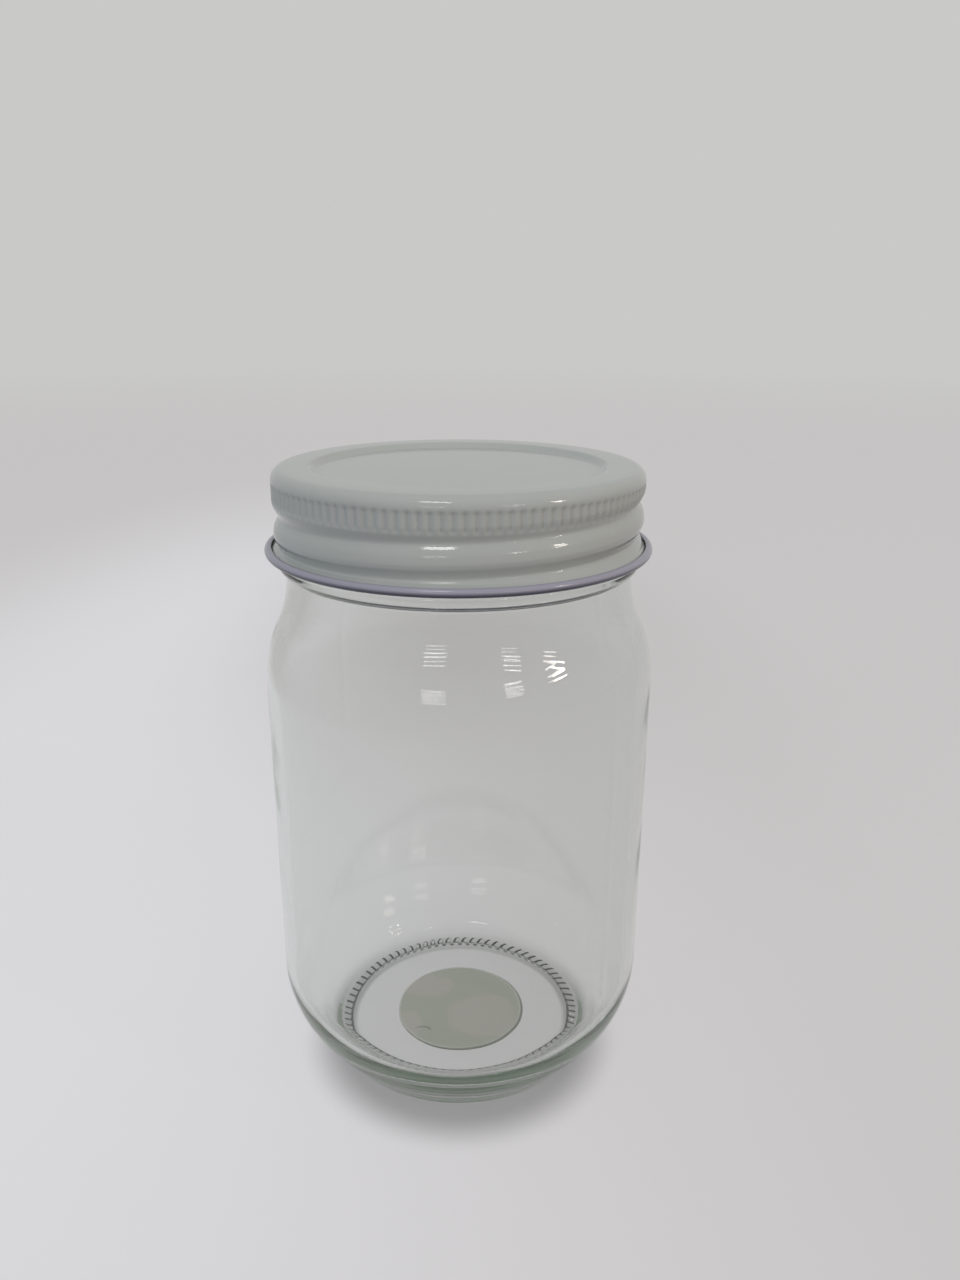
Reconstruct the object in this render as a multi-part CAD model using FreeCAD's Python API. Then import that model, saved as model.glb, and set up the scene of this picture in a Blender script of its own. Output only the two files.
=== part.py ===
import FreeCAD, Part
import math
import os

os.makedirs("parts", exist_ok=True)

# Screw-top glass jar, in millimetres. The origin is the centre of the ring that the jar stands on,
# +Z is up along the jar's axis and the front is -Y. An outline is given as corners in (radius,
# height, rounding) and turned about Z. An azimuth is 0 at the front and grows towards +X.

# Glass body
rim_height = 130.4            # sealing rim above the standing ring
body_diameter = 79.36
body_wall = 2.4
floor_height = 5.0            # inside floor above the standing ring
push_up = 1.2                 # underside of the floor above the standing ring
standing_ring_width = 1.4
push_up_slope_run = 0.6       # radial run from the standing ring up to the flat underside

# Heel, the slanted and rounded foot of the body
heel_height = 14.7            # corner of the heel's slant with the body's side
heel_slope = math.radians(37.5)
heel_wall = 3.2
heel_rounding = 23.0
foot_rounding = 2.4
inner_heel_rounding = 16.0
inner_foot_rounding = 5.0

# Shoulder, measured down from the rim and from the vertical
shoulder_drop = 25.9          # corner of the shoulder's slant with the neck
shoulder_slope = math.radians(25.8)
shoulder_rounding = 24.5

# Finish, the threaded neck under the lid
root_diameter = 68.2          # plain neck between the threads
finish_wall = 2.4
neck_step = 0.5               # the neck below the bead is wider than the thread root by this
rim_rounding = 0.8
bead_drop = 19.0              # lower edge of the neck bead below the rim
bead_height = 4.0
bead_depth = 1.0              # bead's reach past the neck below it
bead_rounding = 0.9

# Thread on the glass, a right-hand ridge
thread_pitch = 5.8
thread_drop = 8.9             # ridge centre below the rim at the front
thread_depth = 1.3
thread_radius = 1.0
thread_start = -200.0         # azimuths of the lower and the upper end, in degrees
thread_end = 200.0
thread_runout = 26.0          # turn over which an end rises from the neck, in degrees

# Lid, rolled from sheet
sheet = 0.4
lid_height = 16.8             # top ring to the underside of the curl
thread_clearance = 0.8        # lid's rolled thread to the plain neck
groove_depth = 1.3            # rolled thread's depth in the skirt, a round-bottomed groove
groove_radius = 1.2
groove_start = -56.0          # azimuths of the lower and the upper end, in degrees
groove_end = 468.0
groove_end_bulge = 0.08       # the round end of the groove is wider than the groove by this
top_rounding = 1.5
panel_recess = 1.0
panel_clearance = 2.5         # recess to the mouth's bore
panel_slope = math.radians(40.0)
panel_rounding = 0.7
rib_pitch = 1.95              # knurled grip band
rib_depth = 0.35
rib_band_height = 3.2
curl_radius = 0.85            # rolled edge, outside
curl_flare = 0.6              # skirt's foot leans out by this to meet the roll
curl_sweep = math.radians(305.0)

# Label under the floor
label_diameter = 29.2
label_thickness = 0.2

# Worked-out sizes
body_radius = body_diameter / 2
root_radius = root_diameter / 2
neck_radius = root_radius + neck_step
bore_radius = root_radius - finish_wall
inner_radius = body_radius - body_wall
foot_radius = body_radius - heel_height * math.tan(heel_slope)
foot_tangent = foot_rounding * math.tan((math.pi / 2 - heel_slope) / 2)
ring_inner_radius = foot_radius - foot_tangent - standing_ring_width
thread_height = rim_height - thread_drop
lid_top = rim_height + sheet
groove_floor_radius = root_radius + thread_clearance + sheet
skirt_radius = groove_floor_radius + groove_depth
skirt_inner_radius = skirt_radius - sheet
curl_height = lid_top - lid_height + curl_radius
curl_top = curl_height + curl_radius
band_foot = lid_top - top_rounding - rib_band_height


def outline(corners):
    """Closed wire in the XZ plane through corners of (radius, height, rounding)."""
    points = [FreeCAD.Vector(radius, 0, height) for radius, height, _ in corners]
    stretches = []
    for index, (_, _, rounding) in enumerate(corners):
        corner = points[index]
        if rounding == 0:
            stretches.append((corner, None, corner))
            continue
        back = (points[index - 1] - corner).normalize()
        ahead = (points[(index + 1) % len(points)] - corner).normalize()
        half_angle = back.getAngle(ahead) / 2
        reach = rounding / math.tan(half_angle)
        bisector = (back + ahead).normalize()
        middle = corner + bisector * (rounding / math.sin(half_angle) - rounding)
        stretches.append((corner + back * reach, middle, corner + ahead * reach))
    edges = []
    for index, (begin, middle, end) in enumerate(stretches):
        if middle is not None:
            edges.append(Part.Arc(begin, middle, end).toShape())
        following = stretches[(index + 1) % len(stretches)][0]
        if (following - end).Length > 1e-6:
            edges.append(Part.makeLine(end, following))
    return Part.Wire(edges)


def turned(corners):
    """Solid of revolution about Z."""
    face = Part.Face(outline(corners))
    return face.revolve(FreeCAD.Vector(0, 0, 0), FreeCAD.Vector(0, 0, 1), 360)


def at_azimuth(radius, azimuth, height):
    angle = math.radians(azimuth)
    return FreeCAD.Vector(radius * math.sin(angle), -radius * math.cos(angle), height)


def helix_tube(tube_radius, path_radius, front_height, start, end, sink):
    """Round tube along a helix, whose ends sink towards the axis over the thread's runout."""
    count = round((end - start) / 8)
    points = []
    for step in range(count + 1):
        azimuth = start + (end - start) * step / count
        from_end = min(azimuth - start, end - azimuth)
        share = max(0.0, 1.0 - from_end / thread_runout)
        eased = share * share * (3 - 2 * share)
        height = front_height + thread_pitch * azimuth / 360
        points.append(at_azimuth(path_radius - sink * eased, azimuth, height))
    path = Part.BSplineCurve()
    path.interpolate(points)
    sections = []
    for point in points:
        heading = path.tangent(path.parameter(point))[0]
        across = FreeCAD.Vector(point.x, point.y, 0)
        across = (across - heading * across.dot(heading)).normalize()
        over = heading.cross(across)
        circle = Part.makeCircle(tube_radius)
        circle.Placement = FreeCAD.Placement(FreeCAD.Matrix(
            across.x, over.x, heading.x, point.x,
            across.y, over.y, heading.y, point.y,
            across.z, over.z, heading.z, point.z,
            0, 0, 0, 1))
        sections.append(Part.Wire(circle))
    return Part.makeLoft(sections, True, False)


def roll_thread(solid, tube_radius):
    """Cut the lid's helical groove, with a round dimple at each end, into a solid."""
    path_radius = groove_floor_radius + groove_radius
    front_height = thread_height - thread_pitch / 2
    solid = solid.cut(helix_tube(tube_radius, path_radius, front_height, groove_start, groove_end, 0))
    for azimuth, turn in ((groove_start, 90), (groove_end, -90)):
        height = front_height + thread_pitch * azimuth / 360
        centre = at_azimuth(path_radius, azimuth, height)
        # One pole of the ball lies in the groove already cut, the other outside the lid.
        pole = at_azimuth(2, azimuth + turn, 0) - at_azimuth(1, azimuth, 0)
        solid = solid.cut(Part.makeSphere(tube_radius + groove_end_bulge, centre, pole))
    return solid


def glass_jar():
    heel_run = math.cos(heel_slope)
    heel_rise = math.sin(heel_slope)
    inner_foot_offset = (heel_wall / heel_run) - floor_height * math.tan(heel_slope)
    inner_foot_radius = foot_radius - inner_foot_offset
    inner_heel_height = floor_height + (inner_radius - inner_foot_radius) * heel_run / heel_rise
    neck_corner = rim_height - shoulder_drop
    outer_corner = neck_corner - (body_radius - neck_radius) / math.tan(shoulder_slope)
    inner_corner = neck_corner - (inner_radius - bore_radius) / math.tan(shoulder_slope)
    bead_bottom = rim_height - bead_drop
    bead_top = bead_bottom + bead_height
    bead_radius = neck_radius + bead_depth
    glass = turned([
        (0, push_up, 0),
        (ring_inner_radius - push_up_slope_run, push_up, 0.3),
        (ring_inner_radius, 0, 0.3),
        (foot_radius, 0, foot_rounding),
        (body_radius, heel_height, heel_rounding),
        (body_radius, outer_corner, shoulder_rounding),
        (neck_radius, neck_corner, shoulder_rounding),
        (neck_radius, bead_bottom, 0),
        (bead_radius, bead_bottom, bead_rounding),
        (bead_radius, bead_top, bead_rounding),
        (root_radius, bead_top, 0.4),
        (root_radius, rim_height, rim_rounding),
        (bore_radius, rim_height, rim_rounding),
        (bore_radius, neck_corner, shoulder_rounding),
        (inner_radius, inner_corner, shoulder_rounding),
        (inner_radius, inner_heel_height, inner_heel_rounding),
        (inner_foot_radius, floor_height, inner_foot_rounding),
        (0, floor_height, 0),
    ])
    path_radius = root_radius + thread_depth - thread_radius
    ridge = helix_tube(thread_radius, path_radius, thread_height, thread_start, thread_end,
                       thread_depth)
    return glass.fuse(ridge)


def knurl_cutter():
    """Ring whose inner side is a zigzag, which cuts the valleys between the grip ribs."""
    count = round(2 * math.pi * skirt_radius / rib_pitch)
    zigzag = []
    for step in range(2 * count + 1):
        radius = skirt_radius + 0.1 if step % 2 else skirt_radius - rib_depth
        zigzag.append(at_azimuth(radius, 180.0 * step / count, band_foot))
    star = Part.Face(Part.makePolygon(zigzag)).extrude(FreeCAD.Vector(0, 0, rib_band_height))
    foot = FreeCAD.Vector(0, 0, band_foot)
    return Part.makeCylinder(skirt_radius + 3, rib_band_height, foot).cut(star)


def curl():
    """The skirt's foot, flared and rolled outwards into a wire edge, stopping short of the skirt."""
    centre_radius = skirt_inner_radius + curl_flare + curl_radius
    hollow_radius = curl_radius - sheet

    def on_roll(radius, turn):
        angle = math.pi + turn
        return FreeCAD.Vector(centre_radius + radius * math.cos(angle), 0,
                              curl_height + radius * math.sin(angle))

    def roll(radius):
        arc = Part.Arc(on_roll(radius, 0), on_roll(radius, curl_sweep / 2),
                       on_roll(radius, curl_sweep))
        return arc.toShape()

    inner_top = FreeCAD.Vector(skirt_inner_radius, 0, curl_top)
    outer_top = FreeCAD.Vector(skirt_radius, 0, curl_top)
    section = Part.Wire([
        Part.makeLine(inner_top, on_roll(curl_radius, 0)),
        roll(curl_radius),
        Part.makeLine(on_roll(curl_radius, curl_sweep), on_roll(hollow_radius, curl_sweep)),
        roll(hollow_radius),
        Part.makeLine(on_roll(hollow_radius, 0), outer_top),
        Part.makeLine(outer_top, inner_top),
    ])
    return Part.Face(section).revolve(FreeCAD.Vector(0, 0, 0), FreeCAD.Vector(0, 0, 1), 360)


def screw_lid():
    panel_top = lid_top - panel_recess
    recess_radius = bore_radius - panel_clearance
    recess_foot_radius = recess_radius - panel_recess / math.tan(panel_slope)
    under_shift = sheet * math.tan(panel_slope / 2)
    outside = turned([
        (0, panel_top, 0),
        (recess_foot_radius, panel_top, panel_rounding),
        (recess_radius, lid_top, panel_rounding),
        (skirt_radius, lid_top, top_rounding),
        (skirt_radius, curl_top, 0),
        (0, curl_top, 0),
    ])
    inside = turned([
        (0, panel_top - sheet, 0),
        (recess_foot_radius + under_shift, panel_top - sheet, panel_rounding + sheet),
        (recess_radius + under_shift, rim_height, panel_rounding - sheet),
        (skirt_inner_radius - rib_depth, rim_height, top_rounding - sheet),
        (skirt_inner_radius - rib_depth, band_foot, 0),
        (skirt_inner_radius, band_foot - rib_depth, 0),
        (skirt_inner_radius, curl_top, 0),
        (0, curl_top, 0),
    ])
    outside = roll_thread(outside, groove_radius).cut(knurl_cutter())
    inside = roll_thread(inside, groove_radius + sheet)
    return outside.cut(inside).fuse(curl())


def base_label():
    foot = FreeCAD.Vector(0, 0, push_up - label_thickness)
    return Part.makeCylinder(label_diameter / 2, label_thickness, foot)


def write(shape, node):
    solid = shape.Solids[0]
    print(node, "solids", len(shape.Solids), "faces", len(solid.Faces), "valid", solid.isValid(),
          "volume", round(solid.Volume, 1))
    solid.exportStep("parts/" + node + ".step")


write(glass_jar(), "glass_jar")
write(screw_lid(), "screw_lid")
write(base_label(), "base_label")
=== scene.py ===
# %% [markdown]
# # Screw-top glass jar
# The jar is pressed and blown in clear soda-lime glass, with a rolled tinplate lid and a small
# round label under its floor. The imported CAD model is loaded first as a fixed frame: it says how
# big everything is and where it sits. Each piece here is then turned on its axis at those sizes.
# Every length is in metres, so sizes that read better in millimetres are multiplied by `mm`.

# %% Load the frame
import math
import bpy
import numpy as np
from mathutils import Matrix, Vector


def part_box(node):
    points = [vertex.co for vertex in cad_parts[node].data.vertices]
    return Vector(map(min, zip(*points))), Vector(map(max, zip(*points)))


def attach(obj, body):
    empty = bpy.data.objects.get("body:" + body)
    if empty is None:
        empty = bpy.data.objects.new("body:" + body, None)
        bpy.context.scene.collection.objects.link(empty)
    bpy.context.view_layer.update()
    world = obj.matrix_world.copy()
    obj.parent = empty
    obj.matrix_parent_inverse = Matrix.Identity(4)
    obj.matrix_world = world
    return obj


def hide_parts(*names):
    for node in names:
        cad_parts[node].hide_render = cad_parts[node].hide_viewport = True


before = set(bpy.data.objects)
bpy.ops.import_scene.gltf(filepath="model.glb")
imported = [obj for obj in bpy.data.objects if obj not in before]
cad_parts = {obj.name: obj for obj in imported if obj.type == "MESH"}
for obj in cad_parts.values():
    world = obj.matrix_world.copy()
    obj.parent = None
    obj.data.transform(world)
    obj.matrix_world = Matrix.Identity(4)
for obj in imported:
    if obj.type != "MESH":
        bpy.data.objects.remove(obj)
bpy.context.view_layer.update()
mm = 0.001

# %% [markdown]
# ## Camera
# The jar is seen from a hand's height above the table, looking down about 19 degrees. The camera
# is placed by its own three axes, because a turn to the side, a tilt down and a slight roll are
# easier to get right as directions than as three chained angles.

# %% Place the camera
yaw, pitch, roll = math.radians(1.224), math.radians(18.646), math.radians(0.203)
ahead = Vector((math.sin(yaw) * math.cos(pitch), math.cos(yaw) * math.cos(pitch), -math.sin(pitch)))
level_right = Vector((math.cos(yaw), -math.sin(yaw), 0))
level_up = level_right.cross(ahead)
right = level_right * math.cos(roll) + level_up * math.sin(roll)
up = level_up * math.cos(roll) - level_right * math.sin(roll)
camera_data = bpy.data.cameras.new("camera")
camera_data.sensor_width = 36
camera_data.lens = 28.596
camera = bpy.data.objects.new("camera", camera_data)
stand = (0, -200.59 * mm, 161.67 * mm)
turn = Matrix((right, up, -ahead)).transposed().to_4x4()
camera.matrix_world = Matrix.Translation(stand) @ turn
bpy.context.collection.objects.link(camera)
bpy.context.scene.camera = camera
print("camera looks down", round(math.degrees(pitch), 1), "degrees")

# %% [markdown]
# ## Helpers for materials
# Colours are written as the hex values a paint chart gives. Blender works in linear light, so one
# function turns them. One more adds a shader node with its settings and what its inputs take.

# %% Colour and node helpers
def colour(code):
    """Linear RGBA of an sRGB hex colour."""
    channels = [int(code[place:place + 2], 16) / 255 for place in (1, 3, 5)]
    linear = [c / 12.92 if c <= 0.04045 else ((c + 0.055) / 1.055) ** 2.4 for c in channels]
    return (*linear, 1.0)


def add_node(tree, kind, inputs={}, **settings):
    """A new node. An input is given as a value, or as another node's output to link."""
    node = tree.nodes.new(kind)
    for name, value in settings.items():
        setattr(node, name, value)
    for name, value in inputs.items():
        if isinstance(value, bpy.types.NodeSocket):
            tree.links.new(value, node.inputs[name])
        else:
            node.inputs[name].default_value = value
    return node


def new_material(name):
    """An empty node material and its tree."""
    material = bpy.data.materials.new(name)
    material.use_nodes = True
    material.node_tree.nodes.clear()
    return material, material.node_tree


print("white reads", round(colour("#FFFFFF")[0], 2), "and mid grey", round(colour("#808080")[0], 3))

# %% [markdown]
# ## Helpers for turned shapes
# Glass is blown into a round mould and the lid is rolled from a round blank, so both are turned
# shapes. By hand one would trace half the section and spin it. The section is given by its
# corners, each with the radius it is rounded to. A corner becomes an arc of short steps, short in
# angle on a small corner and short in length on a large one, so both look round in glass.

# %% Round the corners of a section
arc_step_degrees = 11
arc_step_length = 1.3


def rounded(corners):
    """Points (radius, height) along a section. A corner is (radius, height, rounding, step), where
    step is the longest piece of the straight run that leads to it."""
    points = [Vector(corners[0][:2])]
    for index in range(1, len(corners)):
        radius, height, rounding, step = corners[index]
        corner = Vector((radius, height))
        arc = [corner]
        if rounding:
            back = (Vector(corners[index - 1][:2]) - corner).normalized()
            onward = (Vector(corners[index + 1][:2]) - corner).normalized()
            half = back.angle(onward) / 2
            centre = corner + (back + onward).normalized() * rounding / math.sin(half)
            begin = corner + back * rounding / math.tan(half)
            sweep = math.pi - 2 * half
            turn = 1 if back.cross(onward) < 0 else -1
            count = max(4, math.ceil(math.degrees(sweep) / arc_step_degrees),
                        math.ceil(sweep * rounding / arc_step_length))
            spoke = begin - centre
            arc = []
            for part in range(count + 1):
                a = turn * sweep * part / count
                arc.append(centre + Vector((spoke.x * math.cos(a) - spoke.y * math.sin(a),
                                            spoke.x * math.sin(a) + spoke.y * math.cos(a))))
        start = points[-1]
        pieces = max(1, math.ceil((arc[0] - start).length / step))
        points += [start.lerp(arc[0], part / pieces) for part in range(1, pieces + 1)]
        points += arc[1:]
    return [(point.x, point.y) for point in points]


print("a corner rounded to 1 mm has", len(rounded([(0, 0, 0, 9), (9, 0, 1, 9), (9, 9, 0, 9)])) - 2, "points")

# %% [markdown]
# The spin itself starts from a tiny plane merged to one point. The point is extruded from place to
# place along the section, and the whole line is spun once round the jar's axis. Points that land
# on each other, at the seam and on the axis, are merged so the skin is closed.

# %% Turn a section about the jar's axis
merge_distance = 0.002 * mm


def turned(name, section, segments):
    """A new piece: a section of (radius, height) in mm, spun once about Z."""
    bpy.ops.object.select_all(action="DESELECT")
    bpy.ops.mesh.primitive_plane_add(size=mm, location=(section[0][0] * mm, 0, section[0][1] * mm))
    piece = bpy.context.object
    piece.name = name
    piece.data.name = name
    bpy.ops.object.mode_set(mode="EDIT")
    bpy.ops.mesh.merge(type="CENTER")
    for (r0, z0), (r1, z1) in zip(section, section[1:]):
        step = ((r1 - r0) * mm, 0, (z1 - z0) * mm)
        bpy.ops.mesh.extrude_region_move(TRANSFORM_OT_translate={"value": step})
    bpy.ops.mesh.select_all(action="SELECT")
    bpy.ops.mesh.spin(steps=segments, angle=2 * math.pi, center=(0, 0, 0), axis=(0, 0, 1))
    bpy.ops.mesh.select_all(action="SELECT")
    bpy.ops.mesh.remove_doubles(threshold=merge_distance)
    bpy.ops.mesh.normals_make_consistent(inside=False)
    bpy.ops.object.mode_set(mode="OBJECT")
    bpy.ops.object.transform_apply(location=True)
    bpy.ops.object.shade_smooth()
    return piece


print("points closer than", merge_distance / mm, "mm are merged")

# %% [markdown]
# What isn't round, such as threads, ribs and mould seams, is pressed into the turned skin by
# moving its vertices in or out. Each vertex is read as a radius, an azimuth (0 at the front,
# growing to the right) and a height, moved, and written back.

# %% Read and write a skin in round coordinates
def read_round(piece):
    """Radius in mm, azimuth in degrees and height in mm of every vertex."""
    flat = np.empty(len(piece.data.vertices) * 3)
    piece.data.vertices.foreach_get("co", flat)
    x, y, z = flat.reshape(-1, 3).T / mm
    return np.hypot(x, y), np.degrees(np.arctan2(x, -y)), z


def write_round(piece, radius, azimuth, height):
    """Put every vertex back at its radius, azimuth and height."""
    angle = np.radians(azimuth)
    places = np.stack((radius * np.sin(angle), -radius * np.cos(angle), height), axis=1) * mm
    piece.data.vertices.foreach_set("co", places.ravel())
    piece.data.update()


def ease(value, low, high):
    """0 below `low`, 1 above `high` and smooth between them."""
    share = np.clip((value - low) / (high - low), 0, 1)
    return share * share * (3 - 2 * share)


print("a quarter of the way up, a smooth step has risen to", ease(0.25, 0, 1))

# %% [markdown]
# ## Glass jar
# The section runs from the middle of the underside over the standing ring, up the heel, body,
# shoulder, neck bead and threaded finish to the rim, and down the inside to the floor. The wall is
# thin on the body and thick at the heel, which is where clear glass shows its green.

# %% Section of the glass
body_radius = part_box("glass_jar")[1].y / mm
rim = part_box("glass_jar")[1].z / mm
inner_radius = 37.28
push_up = 1.2
floor_height = 5
ring_inner, ring_outer = 25.8, 28.4
heel_top, shoulder_foot, inner_shoulder_foot = 14.7, 93.98, 92.95
neck_radius, neck_corner = 34.6, rim - 25.9
bead_radius = 36.1
finish_radius, bore_radius = 34.1, 31.7
shoulder_rounding = 24.5
glass_section = rounded([
    (0, push_up, 0, 1), (ring_inner - 0.6, push_up, 0.3, 6), (ring_inner, 0, 0.3, 0.5),
    (ring_outer, 0, 2.4, 0.3), (body_radius, heel_top, 23, 1),
    (body_radius, shoulder_foot, shoulder_rounding, 14), (neck_radius, neck_corner, shoulder_rounding, 2),
    (neck_radius, rim - 19.6, 0.7, 2), (bead_radius, rim - 18.9, 1.3, 0.5),
    (bead_radius, rim - 16.8, 1.0, 0.5), (finish_radius, rim - 16.4, 0.4, 0.5),
    (finish_radius, rim, 0.8, 0.55), (bore_radius, rim, 0.8, 1),
    (bore_radius, neck_corner, shoulder_rounding, 8),
    (inner_radius, inner_shoulder_foot, shoulder_rounding, 3), (inner_radius, 16.8, 16, 6),
    (28.2, floor_height, 5, 2), (0, floor_height, 0, 10)])
print("the glass section has", len(glass_section), "points, body radius", round(body_radius, 2))

# %% [markdown]
# The jar stands on a ring of short raised bars, 78 in a turn, which keep the hot glass off a full
# line of contact. The skin gets six faces to a bar, so a bar's crest, flanks and valley are each
# lines of vertices, and smooth shading rounds them.

# %% Turn the jar and press the bars
bars = 78
faces_to_a_bar = 6
bar_depth = 0.4
slant = 0.6  # degrees to a millimetre
jar = turned("flint_glass_jar", glass_section, bars * faces_to_a_bar)
radius, azimuth, height = read_round(jar)
in_ring = ease(radius, ring_inner - 0.3, ring_inner) * (1 - ease(radius, 27.4, ring_outer - 0.1))
in_ring *= height < 1.0
valley = 0.5 - 0.5 * np.cos(np.radians((azimuth + slant * (radius - 26)) * bars))
height += bar_depth * ease(valley, 0.0, 0.9) * in_ring
write_round(jar, radius, azimuth, height)
print("jar vertices", len(radius), "of which on the bars", int((in_ring > 0.5).sum()))

# %% [markdown]
# The screw thread is one ridge that climbs 5.8 mm a turn round the neck, and dies away over a
# short stretch at both ends so that the lid can start on it. It is raised from the turned skin,
# whose rings are half a millimetre apart there, close enough to draw the ridge's round top.

# %% Screw thread
thread_pitch = 5.8
thread_reach = 1.3
radius, azimuth, height = read_round(jar)
finish = (radius > finish_radius - 0.2) & (height > rim - 14.5) & (height < rim - 0.8)
for lap in (-360, 0, 360):
    along = azimuth + lap
    ridge = rim - 8.9 + thread_pitch * along / 360
    strength = ease(along, -200, -174) * (1 - ease(along, 174, 200))
    radius += thread_reach * finish * strength * (1 - ease(np.abs(height - ridge), 0.25, 1.25))
print("the threaded finish has", int(finish.sum()), "vertices")

# %% [markdown]
# The inside was blown against air, not a mould, so it is slightly uneven: three slow waves added
# up. Outside, the mould's bottom plate leaves a fine ring on the heel, and its two halves leave a
# soft seam up each side.

# %% Uneven inside and mould seams
inside_reach = np.interp(height, (5, 30, 90, 104, 131), (36, 38.5, 38.5, 33, 33))
inner = (height > floor_height + 0.5) & (radius < 37.6) & (radius < inside_reach)
angle = np.radians(azimuth)
unevenness = (0.5 * np.sin(3 * angle + height / 9) + 0.3 * np.sin(5 * angle - height / 6 + 1)
              + 0.3 * np.sin(2 * angle + height / 4.2 + 2))
radius -= 0.045 * inner * ease(height, 8, 20) * unevenness
radius += 0.07 * (~inner) * (radius > 29) * np.exp(-((height - 5.2) / 0.7) ** 2)
below_finish = (~inner) * ease(height, 14, 30) * (height < rim - 15)
for seam in (47, -133):
    away = np.abs((azimuth - seam + 180) % 360 - 180)
    radius += 0.05 * below_finish * (1 - ease(away, 0.3, 2.1))
write_round(jar, radius, azimuth, height)
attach(jar, "root")
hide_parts("glass_jar")
print("inner vertices", int(inner.sum()), "and the waves add up to", round(float(np.ptp(unevenness)), 2))

# %% [markdown]
# ### Soda-lime glass
# Clear jar glass is soda-lime, IOR 1.52, fire-polished and so perfectly smooth, with a little iron
# in it. Iron takes out red and blue, so only thick glass looks green: the colour belongs in the
# volume, not on the surface. The eye also reads glass by its faint ripple, which is a bump here.

# %% Glass material
glass, tree = new_material("clear_soda_lime_glass")
place = add_node(tree, "ShaderNodeTexCoord")
ripple = add_node(tree, "ShaderNodeTexNoise",
                  {"Vector": place.outputs["Object"], "Scale": 70.0, "Detail": 1.0})
bump = add_node(tree, "ShaderNodeBump", {"Strength": 0.25, "Distance": 0.3 * mm,
                                         "Height": ripple.outputs["Fac"]})
surface = add_node(tree, "ShaderNodeBsdfPrincipled",
                   {"Base Color": colour("#FAFAFA"), "Roughness": 0.0, "IOR": 1.52,
                    "Transmission Weight": 1.0, "Normal": bump.outputs["Normal"]})
iron = add_node(tree, "ShaderNodeVolumeAbsorption", {"Color": colour("#B4C3B2"), "Density": 40.0})
add_node(tree, "ShaderNodeOutputMaterial", {"Surface": surface.outputs["BSDF"],
                                            "Volume": iron.outputs["Volume"]})
jar.data.materials.clear()
jar.data.materials.append(glass)
print("glass IOR", surface.inputs["IOR"].default_value)

# %% [markdown]
# ## Lid
# The lid is drawn from 0.4 mm tinplate. Its section is a closed outline: over the recessed panel,
# down the skirt, round the rolled foot, which curls outwards and hides the cut edge, and back up
# the inside. The roll is two arcs about one centre, a sheet's thickness apart. The skirt's foot
# leans out a little to meet it.

# %% Section of the lid
lid_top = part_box("screw_lid")[1].z / mm
sheet = 0.4
roll_radius = 0.85
roll_sweep = 305
curl_centre = (37.65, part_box("screw_lid")[0].z / mm + roll_radius)
skirt_radius = 36.6


def curl_arc(reach, begin, end, count):
    """Points on the roll, at turns given in degrees from the skirt's side."""
    points = []
    for part in range(count + 1):
        turn = math.pi + math.radians(begin + (end - begin) * part / count)
        points.append((curl_centre[0] + reach * math.cos(turn), curl_centre[1] + reach * math.sin(turn)))
    return points


grip_bore = 35.85  # the skirt is thicker behind the knurled grip
recess = 1
flare_top = curl_centre[1] + roll_radius
lid_outside = rounded([
    (0, lid_top - recess, 0, 1), (28.0, lid_top - recess, 0.7, 7), (29.2, lid_top, 0.7, 0.4),
    (skirt_radius, lid_top, 2.2, 2), (skirt_radius, flare_top, 0.5, 0.27),
    (curl_centre[0] - roll_radius + sheet, curl_centre[1], 0, 0.4)])
lid_inside = rounded([
    (curl_centre[0] - roll_radius, curl_centre[1], 0, 1), (skirt_radius - sheet, flare_top, 0.5, 0.4),
    (skirt_radius - sheet, lid_top - 6.3, 0, 0.5), (grip_bore, lid_top - 5.9, 0, 0.5),
    (grip_bore, lid_top - sheet, 1.1, 1), (29.35, lid_top - sheet, 0.3, 2),
    (28.15, lid_top - recess - sheet, 1.1, 1), (0, lid_top - recess - sheet, 0, 7)])
lid_section = (lid_outside + curl_arc(roll_radius - sheet, 0, roll_sweep, 20)[1:]
               + curl_arc(roll_radius, roll_sweep, 0, 30) + lid_inside[1:])
print("the lid section has", len(lid_section), "points; lid top at", round(lid_top, 2))

# %% [markdown]
# The sheet has one lacquer outside and another inside, and the roll turns the inside out. Which
# face is which is plain from its place and its normal now, before anything is pressed into the
# skin, so the faces with the inside coating are marked first.

# %% Turn the lid and mark its inside coating
ribs = 118
faces_to_a_rib = 4
lid = turned("tinplate_lid", lid_section, ribs * faces_to_a_rib)
centres = np.empty(len(lid.data.polygons) * 3)
lid.data.polygons.foreach_get("center", centres)
centres = centres.reshape(-1, 3) / mm
normals = np.empty(len(lid.data.polygons) * 3)
lid.data.polygons.foreach_get("normal", normals)
normals = normals.reshape(-1, 3)
reach = np.hypot(centres[:, 0], centres[:, 1])
level = centres[:, 2]
outward = (normals[:, 0] * centres[:, 0] + normals[:, 1] * centres[:, 1]) / np.maximum(reach, 0.01)
from_curl = np.hypot(reach - curl_centre[0], level - curl_centre[1])
on_roll = np.abs(from_curl - roll_radius) < 0.05
on_roll &= (reach > 37.2) | (level < curl_centre[1] + 0.1)
faces_in = outward < -0.05
faces_down = normals[:, 2] < -0.3
bore = (reach < 36.5) & faces_in & (level < lid_top - 0.35)
flare = (reach > 36.1) & (reach < 37.0) & (level < curl_centre[1] + 1.0) & (from_curl > 0.8)
bore |= flare & faces_in
bore |= faces_down & (reach < 35.9)
inside_coat = on_roll | (bore & ((reach > 30.5) | faces_down))
lid.data.materials.append(None)
lid.data.materials.append(None)
lid.data.polygons.foreach_set("material_index", inside_coat.astype(int))
print("faces with the inside coating", int(inside_coat.sum()), "of", len(reach))

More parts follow.
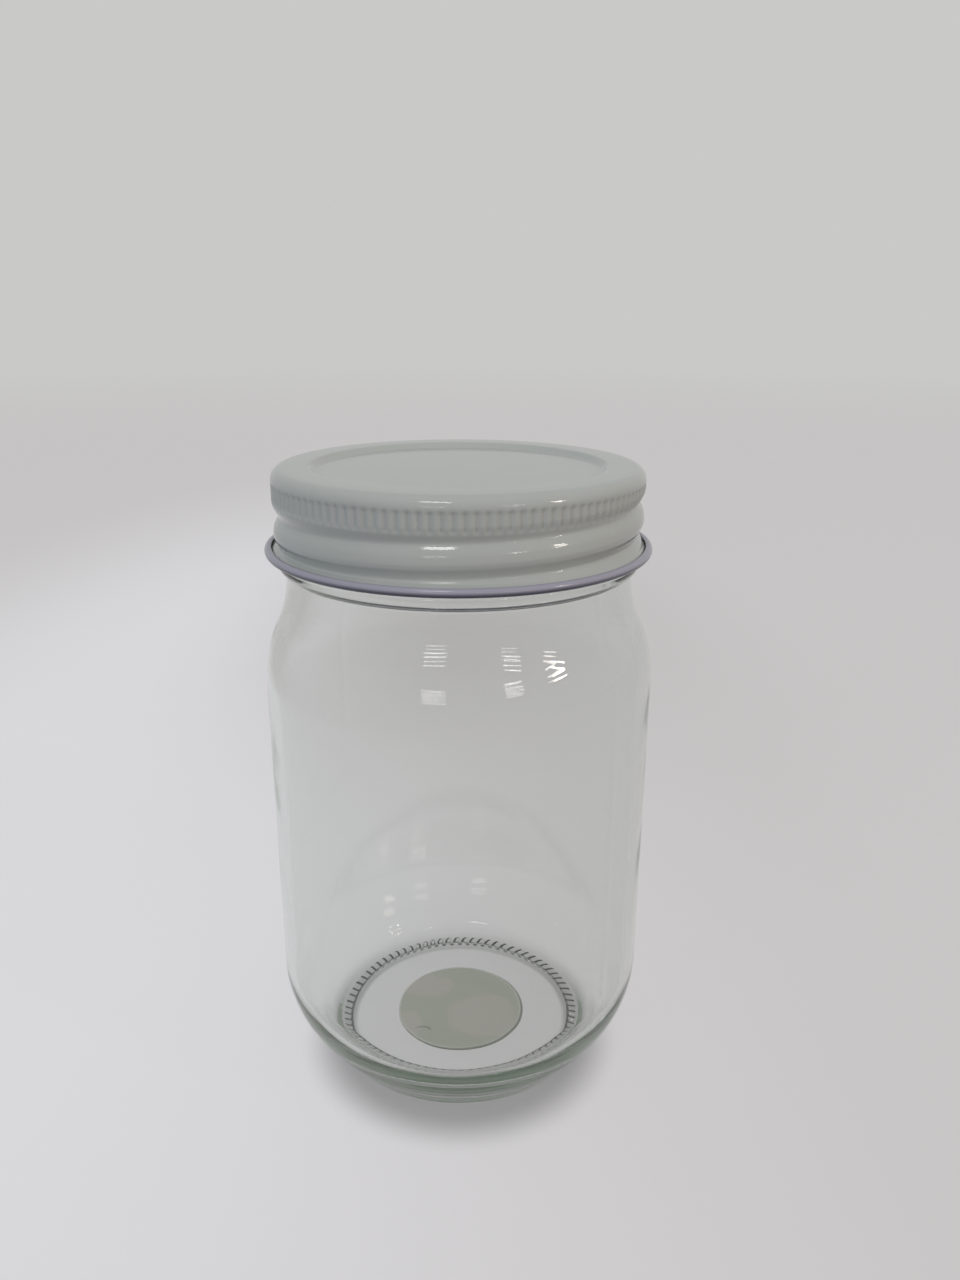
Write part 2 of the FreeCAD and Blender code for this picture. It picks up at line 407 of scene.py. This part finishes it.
# %% [markdown]
# A rolling die presses the thread into the skirt. Seen in section it is a round-bottomed groove,
# steepest just below its floor, where it runs on into the rounded bead that is left between two
# passes. The inside and the outside of the sheet are pressed in alike.

# %% Roll the thread into the skirt
radius, azimuth, height = read_round(lid)
outer_skin = (radius > 36.3) * (radius < 37)
skirt = (radius > 35.5) * (radius < 37) * (height < lid_top - 1.2)
skirt = skirt * ease(height, curl_centre[1] + 0.2, curl_centre[1] + 1.1)
lead = 6.2
groove_level = 116.45
above_groove = (-3.4, -2.6, -1.8, -1.1, -0.55, -0.2, 0.0, 0.3, 0.8, 1.4, 2.1, 2.9)
pressed_in = (0.0, 0.05, 0.18, 0.44, 0.8, 1.1, 1.2, 1.17, 0.95, 0.6, 0.24, 0.0)
groove = np.zeros(len(radius))
for lap in (0, 360):
    along = azimuth + lap
    strength = ease(along, -125, -90) * (1 - ease(along, 470, 500))
    above = height - (groove_level + lead * along / 360)
    groove = np.maximum(groove, strength * np.interp(above, above_groove, pressed_in))
radius -= skirt * groove
print("the thread is pressed in by up to", round(float((skirt * groove).max()), 2), "mm")

# %% [markdown]
# The die that knurls the grip leaves 118 upright ribs, pressed into the outside alone. A rib gets
# four faces: its valley is one line of vertices, its crest another, with one on each flank.

# %% Knurl the grip
rib_depth = 0.6
grip = outer_skin * ease(height, lid_top - 6.7, lid_top - 5.7)
grip *= 1 - ease(height, lid_top - 3.1, lid_top - 2.2)
rib = 1 - np.sqrt(0.5 + 0.5 * np.cos(np.radians(azimuth * ribs)))
radius -= rib_depth * grip * rib
write_round(lid, radius, azimuth, height)
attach(lid, "root")
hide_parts("screw_lid")
print("lid vertices", len(radius), "on the grip", int((grip > 0.5).sum()))

# %% [markdown]
# ### Lacquered tinplate
# The sheet is lacquered before it is drawn: white enamel outside, with a soft gloss and the faint
# orange peel of a roller coat, and a thin lavender-grey coating inside. The foot is rolled
# outwards, so the roll shows the inside coating. Its lower half is painted a darker tone of the
# same, as painted shade on the underside of the roll.
# Clouds of tone are some 17 mm wide, and the peel's bumps, 4 mm, are drawn coarser than real ones
# so that they show in the edges of the highlights.

# %% Lid materials
def lacquer(name, light, dark, roughness, underside_shade=None):
    """Roller-coated lacquer on sheet metal: cloudy in tone and in gloss, with orange peel. An optional
    third colour is painted shade, laid on the lower half of the roll.
    """
    material, tree = new_material(name)
    place = add_node(tree, "ShaderNodeTexCoord")
    cloud = add_node(tree, "ShaderNodeTexNoise",
                     {"Vector": place.outputs["Object"], "Scale": 60.0, "Detail": 4.0})
    tone = add_node(tree, "ShaderNodeMix", {0: cloud.outputs["Fac"], 6: colour(light), 7: colour(dark)},
                    data_type="RGBA")
    if underside_shade:
        # Painted shade: below the middle of the roll the colour fades to a dark tone for the shade under it.
        fades_from, fades_to = curl_centre[1] + 0.25, curl_centre[1] - 0.3
        spot = add_node(tree, "ShaderNodeSeparateXYZ", {"Vector": place.outputs["Object"]})
        low = add_node(tree, "ShaderNodeMapRange", {"Value": spot.outputs["Z"],
                                                    "From Min": fades_from * mm,
                                                    "From Max": fades_to * mm})
        tone = add_node(tree, "ShaderNodeMix", {0: low.outputs["Result"], 6: tone.outputs[2],
                                                7: colour(underside_shade)}, data_type="RGBA")
    gloss = add_node(tree, "ShaderNodeMapRange", {"Value": cloud.outputs["Fac"],
                                                  "To Min": roughness - 0.03, "To Max": roughness + 0.03})
    peel = add_node(tree, "ShaderNodeTexNoise", {"Vector": place.outputs["Object"], "Scale": 260.0})
    bump = add_node(tree, "ShaderNodeBump", {"Strength": 0.1, "Distance": 0.02 * mm,
                                             "Height": peel.outputs["Fac"]})
    surface = add_node(tree, "ShaderNodeBsdfPrincipled",
                       {"Base Color": tone.outputs[2], "Roughness": gloss.outputs["Result"],
                        "IOR": 1.5, "Normal": bump.outputs["Normal"]})
    add_node(tree, "ShaderNodeOutputMaterial", {"Surface": surface.outputs["BSDF"]})
    return material


lid.data.materials[0] = lacquer("white_lacquered_tinplate", "#C0C5C3", "#BAC0BD", 0.09)
lid.data.materials[1] = lacquer("inner_lacquered_tinplate", "#ABABBB", "#A5A5B5", 0.12, "#4A4A5E")
print("lid materials:", [material.name for material in lid.data.materials])

# %% [markdown]
# ## Label under the floor
# A small round sticker is pressed to the underside of the floor, and shows through it from above.
# It is left blank. The disc is a short cylinder whose edge is bevelled, as a die leaves it, and it
# stops short of the glass by the thickness of its glue, so that the two skins don't coincide.

# %% Disc under the floor
glue = 0.05 * mm
low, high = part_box("base_label")
bpy.ops.object.select_all(action="DESELECT")
thickness = high.z - low.z - glue
bpy.ops.mesh.primitive_cylinder_add(vertices=96, radius=high.x, depth=thickness,
                                    location=(0, 0, low.z + thickness / 2))
disc = bpy.context.object
disc.name = "base_disc"
disc.data.name = "base_disc"
bpy.ops.object.transform_apply(location=True)
bpy.ops.object.mode_set(mode="EDIT")
bpy.ops.mesh.select_all(action="SELECT")
bpy.ops.mesh.bevel(offset=0.05 * mm, segments=2)
bpy.ops.object.mode_set(mode="OBJECT")
bpy.ops.object.shade_smooth_by_angle(angle=math.radians(20))
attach(disc, "root")
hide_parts("base_label")
print("disc is", round((high.x - low.x) / mm, 1), "mm wide")

# %% [markdown]
# ### Label of clear film
# The label is thin film with a satin face, stuck to the glass with an uneven coat of glue. Where
# the glue wets the glass the label looks darker and greener, and where air is caught it looks paler
# and pinker. Each such patch is an oval in millimetres, made ragged by the film's own grain, which
# is 4.5 mm coarse here so that it shows.

# %% Masks for the label
label, tree = new_material("adhesive_film_label")
place = add_node(tree, "ShaderNodeTexCoord")
fibre = add_node(tree, "ShaderNodeTexNoise",
                 {"Vector": place.outputs["Object"], "Scale": 220.0, "Detail": 2.0})


def oval(centre, half, inner, outer, rough):
    """One where the label lies within an oval, falling to zero between two shares of its size."""
    placed = add_node(tree, "ShaderNodeMapping",
                      {"Vector": place.outputs["Object"], "Location": (centre[0] * mm, centre[1] * mm, 0),
                       "Scale": (half[0] * mm, half[1] * mm, 1e9)}, vector_type="TEXTURE")
    away = add_node(tree, "ShaderNodeVectorMath", {0: placed.outputs["Vector"]}, operation="LENGTH")
    ragged = add_node(tree, "ShaderNodeMath", {0: fibre.outputs["Fac"], 1: rough, 2: away.outputs["Value"]},
                      operation="MULTIPLY_ADD")
    falling = add_node(tree, "ShaderNodeMapRange", {"Value": ragged.outputs["Value"], "From Min": inner,
                                                    "From Max": outer, "To Min": 1.0, "To Max": 0.0})
    return falling.outputs["Result"]


def combined(first, second, operation):
    """Two masks made one: MAXIMUM is where either holds, SUBTRACT where only the first does."""
    both = add_node(tree, "ShaderNodeMath", {0: first, 1: second}, operation=operation, use_clamp=True)
    return both.outputs["Value"]


def painted(mask, below, above):
    """One colour where the mask is zero and another where it is one."""
    mixed = add_node(tree, "ShaderNodeMix", {0: mask, 6: below, 7: above}, data_type="RGBA")
    return mixed.outputs[2]


print("the film's grain is", round(1000 / fibre.inputs["Scale"].default_value, 1), "mm coarse")

# %% [markdown]
# Three patches of caught air, a light rim of painted highlight and a darker rim of painted shade
# outside it, both wider at the front right, and one small crease, drawn only as painted shade in the
# dark rim's colour. The crease is a thin crescent: an oval less the same oval moved.

# %% Label material
air = combined(oval((-7.6, 7.4), (6.4, 4.6), 1.14, 1.24, 0.5),
               oval((5.2, -3.2), (8.6, 8.0), 1.14, 1.24, 0.5), "MAXIMUM")
air = combined(air, oval((-11.6, -5.2), (3.0, 5.0), 1.1, 1.25, 0.5), "MAXIMUM")
# Painted highlight: a light rim round the label's edge, wider at the front right.
within_highlight_rim = oval((-0.25, 0.3), (13.9, 13.9), 1.0, 1.012, 0.0)
crease = combined(oval((-8.6, -7.4), (2.1, 1.2), 0.95, 1.1, 0.4),
                  oval((-8.9, -7.9), (2.0, 1.2), 0.95, 1.1, 0.4), "SUBTRACT")
# Painted shade: a darker rim outside the light one, and the crease, in one dark colour.
within_shade_rim = combined(oval((-0.3, 0.36), (14.3, 14.3), 1.0, 1.012, 0.0), crease, "SUBTRACT")
tone = painted(air, colour("#D5DAC8"), colour("#E5E1D5"))
tone = painted(within_highlight_rim, colour("#F6F6EC"), tone)
tone = painted(within_shade_rim, colour("#8F9386"), tone)
surface = add_node(tree, "ShaderNodeBsdfPrincipled",
                   {"Base Color": tone, "Roughness": 0.28, "IOR": 1.45,
                    "Transmission Weight": 0.9})
add_node(tree, "ShaderNodeOutputMaterial", {"Surface": surface.outputs["BSDF"]})
disc.data.materials.clear()
disc.data.materials.append(label)
print("label nodes", len(tree.nodes))

# %% [markdown]
# ## Floor and light
# A plain pale floor, wide enough to fill the glass. A hard edge would show behind the jar, so the
# floor is a round sheet that thins out to nothing far off, where the studio's own tone takes over.

# %% Floor
bpy.ops.object.select_all(action="DESELECT")
bpy.ops.mesh.primitive_circle_add(vertices=96, radius=0.3, fill_type="NGON", location=(0, 0, -0.05 * mm))
floor = bpy.context.object
floor.name = "floor"
bpy.ops.object.mode_set(mode="EDIT")
bpy.ops.mesh.select_mode(type="EDGE")
bpy.ops.mesh.select_all(action="SELECT")
bpy.ops.mesh.region_to_loop()
bpy.ops.mesh.extrude_edges_move(TRANSFORM_OT_translate={"value": (0, 0, 0)})
bpy.ops.transform.resize(value=(10, 10, 1))
bpy.ops.object.mode_set(mode="OBJECT")
bpy.ops.object.transform_apply(location=True)
print("floor faces", len(floor.data.polygons), "and width", round(floor.dimensions.x, 2), "m")

# %% [markdown]
# The floor is matte card. Under a closed jar little lamplight reaches it, so it is given a tone of
# its own for camera, mirror and glass rays, on top of a darker one that takes the lamps' light and
# the jar's shadow. The tone is a soft pool of light by the jar, a little greyer away from it, with a
# patch of painted shadow of the jar behind it.

# %% Tone of the card
card, tree = new_material("pale_studio_card")
place = add_node(tree, "ShaderNodeTexCoord")
fibre = add_node(tree, "ShaderNodeTexNoise", {"Vector": place.outputs["Object"], "Scale": 30.0})
matte = add_node(tree, "ShaderNodeMix", {0: fibre.outputs["Fac"], 6: colour("#6C6C6C"),
                                         7: colour("#6A6A6A")}, data_type="RGBA")
centred = add_node(tree, "ShaderNodeMapping", {"Vector": place.outputs["Object"],
                                               "Location": (0.12, -0.05, 0), "Scale": (1, 0.35, 1)})
off = add_node(tree, "ShaderNodeVectorMath", {0: centred.outputs["Vector"]}, operation="LENGTH")
pool = add_node(tree, "ShaderNodeMapRange", {"Value": off.outputs["Value"], "From Min": 0.05,
                                             "From Max": 0.24}, interpolation_type="SMOOTHSTEP")
glow = add_node(tree, "ShaderNodeMix", {0: pool.outputs["Result"], 6: colour("#CCCBCE"),
                                        7: colour("#B9B7B7")}, data_type="RGBA")
# Painted shadow: a soft grey patch on the card behind the jar.
placed = add_node(tree, "ShaderNodeMapping",
                  {"Vector": place.outputs["Object"], "Location": (0.012, 0.3, 0),
                   "Scale": (0.12, 0.22, 1)}, vector_type="TEXTURE")
off = add_node(tree, "ShaderNodeVectorMath", {0: placed.outputs["Vector"]}, operation="LENGTH")
behind = add_node(tree, "ShaderNodeMapRange",
                  {"Value": off.outputs["Value"], "From Min": 0.0, "From Max": 1.4, "To Min": 1.0,
                   "To Max": 0.0}, interpolation_type="SMOOTHSTEP")
glow = add_node(tree, "ShaderNodeMix", {0: behind.outputs["Result"], 6: glow.outputs[2],
                                        7: colour("#AEABAB")}, data_type="RGBA")
print("nodes for the card's tone:", len(tree.nodes))

# %% [markdown]
# Close round the foot the card is darker, because the jar keeps the light of the room off it. That
# contact shade starts at the standing ring and reaches a little further to the front. Inside the
# ring the card is nearly as light as in the open, lit through the jar's floor.

# %% Contact shade
shade_from, shade_to, shade_shift = 26 * mm, 37 * mm, 5 * mm
far = add_node(tree, "ShaderNodeVectorMath", {0: place.outputs["Object"]}, operation="LENGTH")
forward = add_node(tree, "ShaderNodeVectorMath", {0: place.outputs["Object"], 1: (0, shade_shift, 0)},
                   operation="ADD")
forward = add_node(tree, "ShaderNodeVectorMath", {0: forward.outputs["Vector"]}, operation="LENGTH")
near = add_node(tree, "ShaderNodeMapRange",
                {"Value": forward.outputs["Value"], "From Min": shade_from, "From Max": shade_to,
                 "To Min": 0.45}, interpolation_type="SMOOTHSTEP")
within = add_node(tree, "ShaderNodeMapRange",
                  {"Value": far.outputs["Value"], "From Min": 24 * mm, "From Max": 26 * mm,
                   "To Min": 0.9, "To Max": 0.0})
open_floor = add_node(tree, "ShaderNodeMath", {0: near.outputs["Result"], 1: within.outputs["Result"]},
                      operation="MAXIMUM")
print("the shade reaches", round((shade_to + shade_shift) / mm), "mm to the front and",
      round((shade_to - shade_shift) / mm), "mm to the back")

# %% [markdown]
# The tone is shown to camera, mirror and glass rays alone, where a strength of 1 is the colour as
# written, and the shader is mixed to nothing far away.

# %% Card material
ray = add_node(tree, "ShaderNodeLightPath")
seen = add_node(tree, "ShaderNodeMath", {0: ray.outputs["Is Camera Ray"], 1: ray.outputs["Is Glossy Ray"]},
                operation="MAXIMUM")
seen = add_node(tree, "ShaderNodeMath", {0: seen.outputs["Value"], 1: ray.outputs["Is Transmission Ray"]},
                operation="MAXIMUM")
seen = add_node(tree, "ShaderNodeMath", {0: seen.outputs["Value"], 1: open_floor.outputs["Value"]},
                operation="MULTIPLY")
surface = add_node(tree, "ShaderNodeBsdfDiffuse", {"Color": matte.outputs[2]})
bright = add_node(tree, "ShaderNodeEmission", {"Color": glow.outputs[2], "Strength": seen.outputs["Value"]})
lit = add_node(tree, "ShaderNodeAddShader", {0: surface.outputs["BSDF"], 1: bright.outputs["Emission"]})
nothing = add_node(tree, "ShaderNodeBsdfTransparent")
fade = add_node(tree, "ShaderNodeMapRange", {"Value": far.outputs["Value"], "From Min": 0.9,
                                             "From Max": 2.6}, interpolation_type="SMOOTHSTEP")
blend = add_node(tree, "ShaderNodeMixShader", {0: fade.outputs["Result"], 1: lit.outputs["Shader"],
                                               2: nothing.outputs["BSDF"]})
add_node(tree, "ShaderNodeOutputMaterial", {"Surface": blend.outputs["Shader"]})
floor.data.materials.append(card)
print("the card is gone", fade.inputs["From Max"].default_value, "m away")

# %% [markdown]
# Soft light comes from all round, as in a light tent: the jar's floor is under a lid, so light must
# reach it through the glass from the sides. A large softbox overhead and two fills in front, a
# cooler one at the left and a warmer one at the right, shape the lid.

# %% Soft lamps
aim_point = (0, 0, 0.1)


def area_lamp(name, place, size, power, tint):
    """A rectangular lamp of a size in metres and a power in watts, aimed at the jar."""
    data = bpy.data.lights.new(name, "AREA")
    data.shape = "RECTANGLE"
    data.size, data.size_y = size
    data.energy = power
    data.color = colour(tint)[:3]
    lamp = bpy.data.objects.new(name, data)
    aim = Vector(aim_point) - Vector(place)
    lamp.matrix_world = Matrix.Translation(place) @ aim.to_track_quat("-Z", "Y").to_matrix().to_4x4()
    bpy.context.collection.objects.link(lamp)
    return lamp


def toward(azimuth, elevation, distance):
    """A place at an azimuth from the front, an elevation and a distance from the lid."""
    a, e = math.radians(azimuth), math.radians(elevation)
    return (distance * math.sin(a) * math.cos(e), -distance * math.cos(a) * math.cos(e),
            0.12 + distance * math.sin(e))


area_lamp("overhead_softbox", (0, 0.05, 1.2), (0.9, 0.9), 0.1, "#FBFDFF")
for name, azimuth, power, tint in (("fill_left", -38, 1.6, "#E8F1FF"), ("fill_right", 38, 0.9, "#FFC8A0")):
    fill = area_lamp(name, toward(azimuth, 20, 1.1), (0.35, 0.25), power, tint)
    fill.visible_glossy = False
    fill.visible_transmission = False

# %% [markdown]
# The eye reads gloss by small bright marks. One lamp high up leaves a line on the lid's rounded
# edges, and it gives no diffuse light, so it can be as bright as the line needs. Three windows of
# four slats leave the barred marks on the glass and the dots on the lid.

# %% Lamps for the highlights
slats = (-4.5, -1.5, 1.5, 4.5)
ceiling = area_lamp("ceiling_lamp", toward(-20, 58, 1.2), (0.3, 0.16), 1.6, "#FFFFFF")
ceiling.visible_diffuse = False
for name, azimuth, elevation, width, depth, power, tint in (
        ("window_left", -15, 15, 0.22, 0.010, 0.06, "#FFFFFF"),
        ("window_middle", 32, 18, 0.18, 0.008, 0.06, "#FFFDF8"),
        ("window_right", 61, 21, 0.15, 0.014, 0.26, "#FFF6EC")):
    for slat in slats:
        area_lamp(name, toward(azimuth, elevation + slat, 1.0), (width, depth), power, tint)

# %% [markdown]
# The studio round the jar is one pale tone. What the eye sees of it, straight or through the glass,
# is the backdrop. What lights the jar softly is the tent, a neutral white at half strength.

# %% Surroundings
world = bpy.data.worlds.new("studio")
bpy.context.scene.world = world
world.use_nodes = True
tree = world.node_tree
tree.nodes.clear()
ray = add_node(tree, "ShaderNodeLightPath")
backdrop = add_node(tree, "ShaderNodeBackground", {"Color": colour("#C9C9C8"), "Strength": 1.0})
tent = add_node(tree, "ShaderNodeBackground", {"Color": colour("#FFFFFF"), "Strength": 0.50})
soft = add_node(tree, "ShaderNodeMixShader", {0: ray.outputs["Is Diffuse Ray"],
                                              1: backdrop.outputs["Background"],
                                              2: tent.outputs["Background"]})
add_node(tree, "ShaderNodeOutputWorld", {"Surface": soft.outputs["Shader"]})
bpy.context.scene.view_settings.view_transform = "Standard"
print("backdrop reads", round(colour("#C9C9C8")[0], 2), "and the tent", tent.inputs["Strength"].default_value)

# %% [markdown]
# A closed jar puts many skins of glass in the way of a ray, more when it bounces along inside the
# wall. A ray that runs out of bounces counts as black, and with the usual counts that leaves
# patches of the heel too dark. So the counts are raised.

# %% Bounces
bounces = 32
bpy.context.scene.cycles.max_bounces = bounces
bpy.context.scene.cycles.transmission_bounces = bounces
bpy.context.scene.cycles.glossy_bounces = bounces
